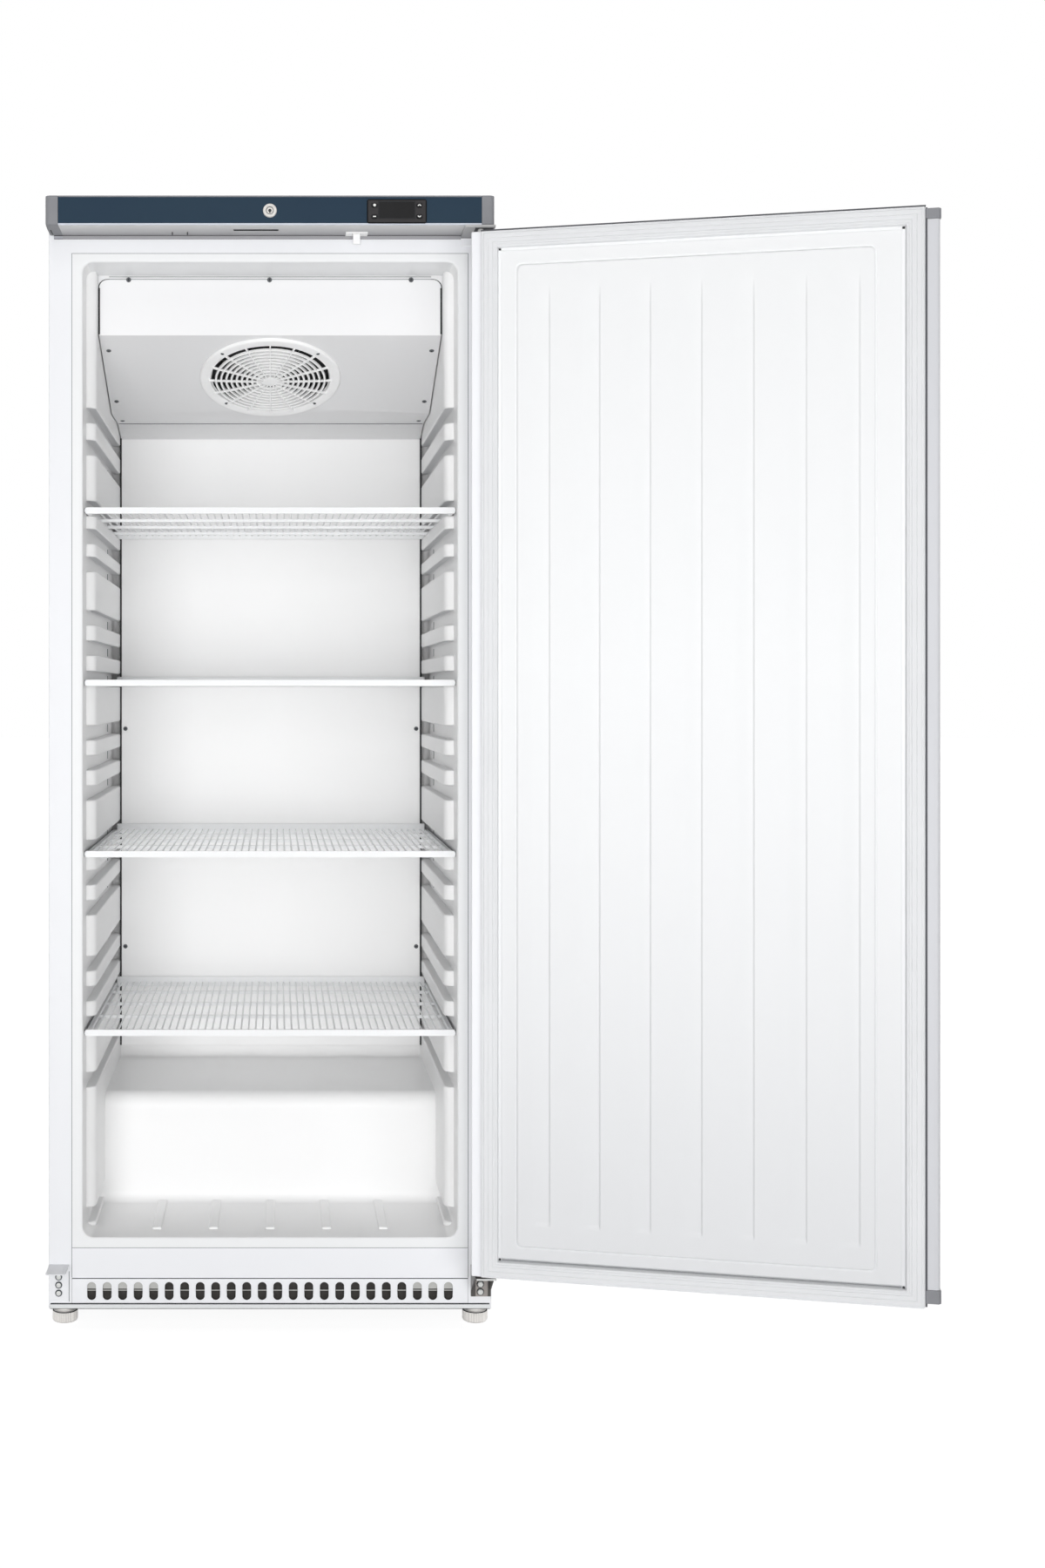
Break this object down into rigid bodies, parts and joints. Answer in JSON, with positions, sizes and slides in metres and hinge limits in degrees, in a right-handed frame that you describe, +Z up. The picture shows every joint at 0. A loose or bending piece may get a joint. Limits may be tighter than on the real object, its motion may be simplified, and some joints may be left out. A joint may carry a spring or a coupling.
{
  "type": "upright refrigerator",
  "caption": "Tall reach-in refrigerator with a solid hinged door standing open, wire shelves on wall runners, a header with controller and lock, and a machine bay",
  "frame": {"origin": "centre of the cabinet's footprint on the floor", "axes": "+Z up, -Y the front where the door is, +X to the right seen from the front"},
  "size_m": [1.466, 0.8919, 1.95],
  "materials": {
    "white_steel": "smooth cool-white powder coat",
    "white_liner": "satin white moulded sheet",
    "foam": "rigid foam, hidden",
    "galvanised": "galvanised sheet",
    "zinc_steel": "zinc-plated",
    "navy_panel": "satin dark blue",
    "grey_plastic": "fine grained grey",
    "black_plastic": "black moulded",
    "white_plastic": "white moulded",
    "foot_plastic": "off-white moulded, ribbed rim",
    "display": "dark smoked window",
    "chrome": "polished",
    "gasket": "soft pale grey vinyl",
    "white_wire": "white coated wire",
    "fins": "finned block",
    "compressor_black": "black enamel",
    "mount_rubber": "black rubber",
    "copper": "copper tube"
  },
  "bodies": {
    "cabinet": {"outer_shell": "white_steel", "rear_panel": "galvanised", "cabinet_insulation": "foam", "inner_liner": "white_liner", "bay_panel": "galvanised", "lower_cross_rail": "white_steel", "kick_grille": "white_steel", "base_frame": "galvanised", "roller_brackets": "galvanised", "evaporator_cover": "white_steel", "back_duct_panel": "white_steel", "evaporator_coil": "fins", "fan_grille": "white_plastic", "fan_shroud": "black_plastic", "fan_motor": "compressor_black", "header_housing": "grey_plastic", "header_fascia": "navy_panel", "header_end_caps": "grey_plastic", "controller_housing": "black_plastic", "display_window": "display", "lock_housing": "chrome", "door_switch_body": "white_plastic", "lower_hinge_bracket": "zinc_steel", "hinge_pins_and_bolts": "zinc_steel", "upper_hinge_bracket": "white_steel", "left_corner_bracket": "white_steel", "compressor": "compressor_black", "compressor_mounts": "mount_rubber", "condenser_coil": "fins", "condenser_shroud": "galvanised", "condenser_fan_motor": "compressor_black", "drip_tray": "black_plastic", "electrical_box": "black_plastic", "refrigerant_pipes": "copper"},
    "door": {"door_outer_skin": "white_steel", "door_insulation": "foam", "door_inner_panel": "white_liner", "door_gasket": "gasket", "door_handle": "white_plastic", "handle_caps": "grey_plastic", "door_top_clips": "grey_plastic", "hinge_bushes": "white_plastic", "lock_strike": "grey_plastic"},
    "lock": {"lock_barrel": "chrome", "lock_cam": "zinc_steel"},
    "switch_lever": {"switch_lever": "white_plastic"},
    "evaporator_fan": {"fan_blades": "black_plastic"},
    "condenser_fan": {"condenser_fan_blades": "black_plastic"},
    "foot_left": {"front_foot_left": "foot_plastic"},
    "foot_right": {"front_foot_right": "foot_plastic"},
    "roller_left": {"rear_roller_left": "black_plastic"},
    "roller_right": {"rear_roller_right": "black_plastic"},
    "button_upper_left": {"button_upper_left": "black_plastic"},
    "button_lower_left": {"button_lower_left": "black_plastic"},
    "button_upper_right": {"button_upper_right": "black_plastic"},
    "button_lower_right": {"button_lower_right": "black_plastic"},
    "shelf_1": {"wire_shelf_1": "white_wire"},
    "shelf_2": {"wire_shelf_2": "white_wire"},
    "shelf_3": {"wire_shelf_3": "white_wire"},
    "shelf_4": {"wire_shelf_4": "white_wire"}
  },
  "joints": [
    {"name": "door_hinge", "type": "hinge", "parent": "cabinet", "child": "door", "pos_m": [0.36, -0.37, 0], "axis": [0, 0, 1], "range_deg": [-167.4, 9]},
    {"name": "lock_turn", "type": "hinge", "parent": "cabinet", "child": "lock", "pos_m": [0, -0.366, 1.924], "axis": [0, -1, 0], "range_deg": [0, 90]},
    {"name": "switch_pivot", "type": "hinge", "parent": "cabinet", "child": "switch_lever", "pos_m": [0.15, -0.3275, 1.908], "axis": [1, 0, 0], "range_deg": [0, 20], "stiffness_Nm_per_rad": 0.02},
    {"name": "evaporator_fan_spin", "type": "hinge", "parent": "cabinet", "child": "evaporator_fan", "pos_m": [0, -0.07494, 1.71522], "axis": [0, -0.3801, -0.9249], "continuous": true},
    {"name": "condenser_fan_spin", "type": "hinge", "parent": "cabinet", "child": "condenser_fan", "pos_m": [0.044, 0.135, 0.15], "axis": [1, 0, 0], "continuous": true},
    {"name": "foot_left_screw", "type": "hinge", "parent": "cabinet", "child": "foot_left", "pos_m": [-0.361, -0.27, 0], "axis": [0, 0, 1], "continuous": true},
    {"name": "foot_right_screw", "type": "hinge", "parent": "cabinet", "child": "foot_right", "pos_m": [0.361, -0.27, 0], "axis": [0, 0, 1], "continuous": true},
    {"name": "roller_left_spin", "type": "hinge", "parent": "cabinet", "child": "roller_left", "pos_m": [-0.34, 0.265, 0.015], "axis": [1, 0, 0], "continuous": true},
    {"name": "roller_right_spin", "type": "hinge", "parent": "cabinet", "child": "roller_right", "pos_m": [0.34, 0.265, 0.015], "axis": [1, 0, 0], "continuous": true},
    {"name": "press_upper_left", "type": "slide", "parent": "cabinet", "child": "button_upper_left", "axis": [0, 1, 0], "range_m": [0, 0.0008], "stiffness_N_per_m": 1500},
    {"name": "press_lower_left", "type": "slide", "parent": "cabinet", "child": "button_lower_left", "axis": [0, 1, 0], "range_m": [0, 0.0008], "stiffness_N_per_m": 1500},
    {"name": "press_upper_right", "type": "slide", "parent": "cabinet", "child": "button_upper_right", "axis": [0, 1, 0], "range_m": [0, 0.0008], "stiffness_N_per_m": 1500},
    {"name": "press_lower_right", "type": "slide", "parent": "cabinet", "child": "button_lower_right", "axis": [0, 1, 0], "range_m": [0, 0.0008], "stiffness_N_per_m": 1500},
    {"name": "shelf_1_slide", "type": "slide", "parent": "cabinet", "child": "shelf_1", "axis": [0, -1, 0], "range_m": [0, 0.45]},
    {"name": "shelf_2_slide", "type": "slide", "parent": "cabinet", "child": "shelf_2", "axis": [0, -1, 0], "range_m": [0, 0.45]},
    {"name": "shelf_3_slide", "type": "slide", "parent": "cabinet", "child": "shelf_3", "axis": [0, -1, 0], "range_m": [0, 0.45]},
    {"name": "shelf_4_slide", "type": "slide", "parent": "cabinet", "child": "shelf_4", "axis": [0, -1, 0], "range_m": [0, 0.45]}
  ]
}
